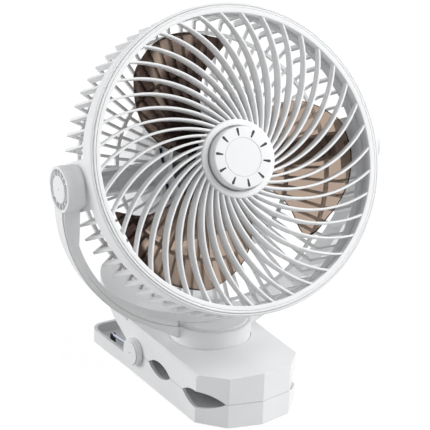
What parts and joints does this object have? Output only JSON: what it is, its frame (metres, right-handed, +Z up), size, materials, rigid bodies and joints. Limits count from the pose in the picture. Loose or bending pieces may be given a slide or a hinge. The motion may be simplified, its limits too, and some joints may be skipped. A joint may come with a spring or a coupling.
{
  "type": "clip-on camping fan",
  "caption": "Portable fan with a round spiral-rib grille and barred rear guard, tilting in a U-shaped yoke that swivels on a spring clamp with leaf-shaped pole channels.",
  "frame": {"origin": "on the swivel axis, at the underside of the foot", "axes": "+Z up, along the swivel axis; the front of the clamp faces -Y; +X to the right as one looks along +Y"},
  "size_m": [0.2292, 0.1699, 0.266],
  "materials": {
    "body": "smooth white moulded plastic, soft sheen",
    "marks": "black",
    "blades": "smoky brown, translucent",
    "steel": "zinc plated",
    "spring_steel": "blue-grey spring wire",
    "magnet": "bonded ferrite",
    "copper": "enamelled copper windings",
    "cells": "shrink wrap",
    "black_plastic": "dark moulded plastic",
    "board": "solder mask",
    "lens": "clear light pipe",
    "rubber": "soft light grey"
  },
  "bodies": {
    "foot": {"lower_jaw": "body", "lower_grip": "rubber", "base_cover": "body", "base_screws": "steel", "sole_pad": "rubber", "hinge_pin": "steel", "knob_left": "body", "knob_right": "body", "clamp_springs": "spring_steel", "spring_anchors": "black_plastic"},
    "clamp_top": {"upper_jaw": "body", "upper_grip": "rubber", "grip_screws": "steel", "swivel_ring": "black_plastic"},
    "yoke": {"yoke_outer": "body", "yoke_inner": "body", "yoke_trim": "body", "yoke_screws": "steel", "turret_screws": "steel", "swivel_bolt": "steel", "swivel_nut": "steel", "pivot_cap_left": "body", "pivot_cap_right": "body"},
    "head": {"front_grille": "body", "hub_cap": "body", "cap_marks": "marks", "guard_band": "body", "rear_grille": "body", "pod_cover": "body", "pod_screws": "steel", "battery_cells": "cells", "cell_tray": "black_plastic", "control_board": "board", "charge_port": "steel", "status_lens": "lens", "button_switch": "black_plastic", "motor_bearings": "steel", "motor_base": "body", "motor_screws": "steel", "stator_core": "steel", "stator_coils": "copper", "pivot_screws": "steel", "pivot_washers": "steel", "friction_rings": "black_plastic"},
    "fan": {"impeller": "blades", "rotor_cup": "steel", "magnet_ring": "magnet", "motor_shaft": "steel", "shaft_clip": "spring_steel"},
    "button": {"power_button": "body"}
  },
  "joints": [
    {"name": "clamp_open", "type": "hinge", "parent": "foot", "child": "clamp_top", "pos_m": [0, 0.0303, 0.01745], "axis": [-1, 0, 0], "range_deg": [0, 30], "stiffness_Nm_per_rad": 3, "springref_deg": -40.11, "deforming": ["clamp_springs"]},
    {"name": "yoke_swivel", "type": "hinge", "parent": "clamp_top", "child": "yoke", "pos_m": [0, 0, 0.0425], "axis": [0, 0, 1], "range_deg": [-180, 180]},
    {"name": "head_tilt", "type": "hinge", "parent": "yoke", "child": "head", "pos_m": [0, 0, 0.16075], "axis": [-0.996, 0.0889, 0], "range_deg": [-73.7, 61.3]},
    {"name": "fan_spin", "type": "hinge", "parent": "head", "child": "fan", "pos_m": [0, 0, 0.16075], "axis": [-0.078, -0.8737, 0.4802], "continuous": true},
    {"name": "power_press", "type": "slide", "parent": "head", "child": "button", "axis": [-0.078, -0.8737, 0.4802], "range_m": [0, 0.0008], "stiffness_N_per_m": 800, "springref_m": -0.001}
  ]
}
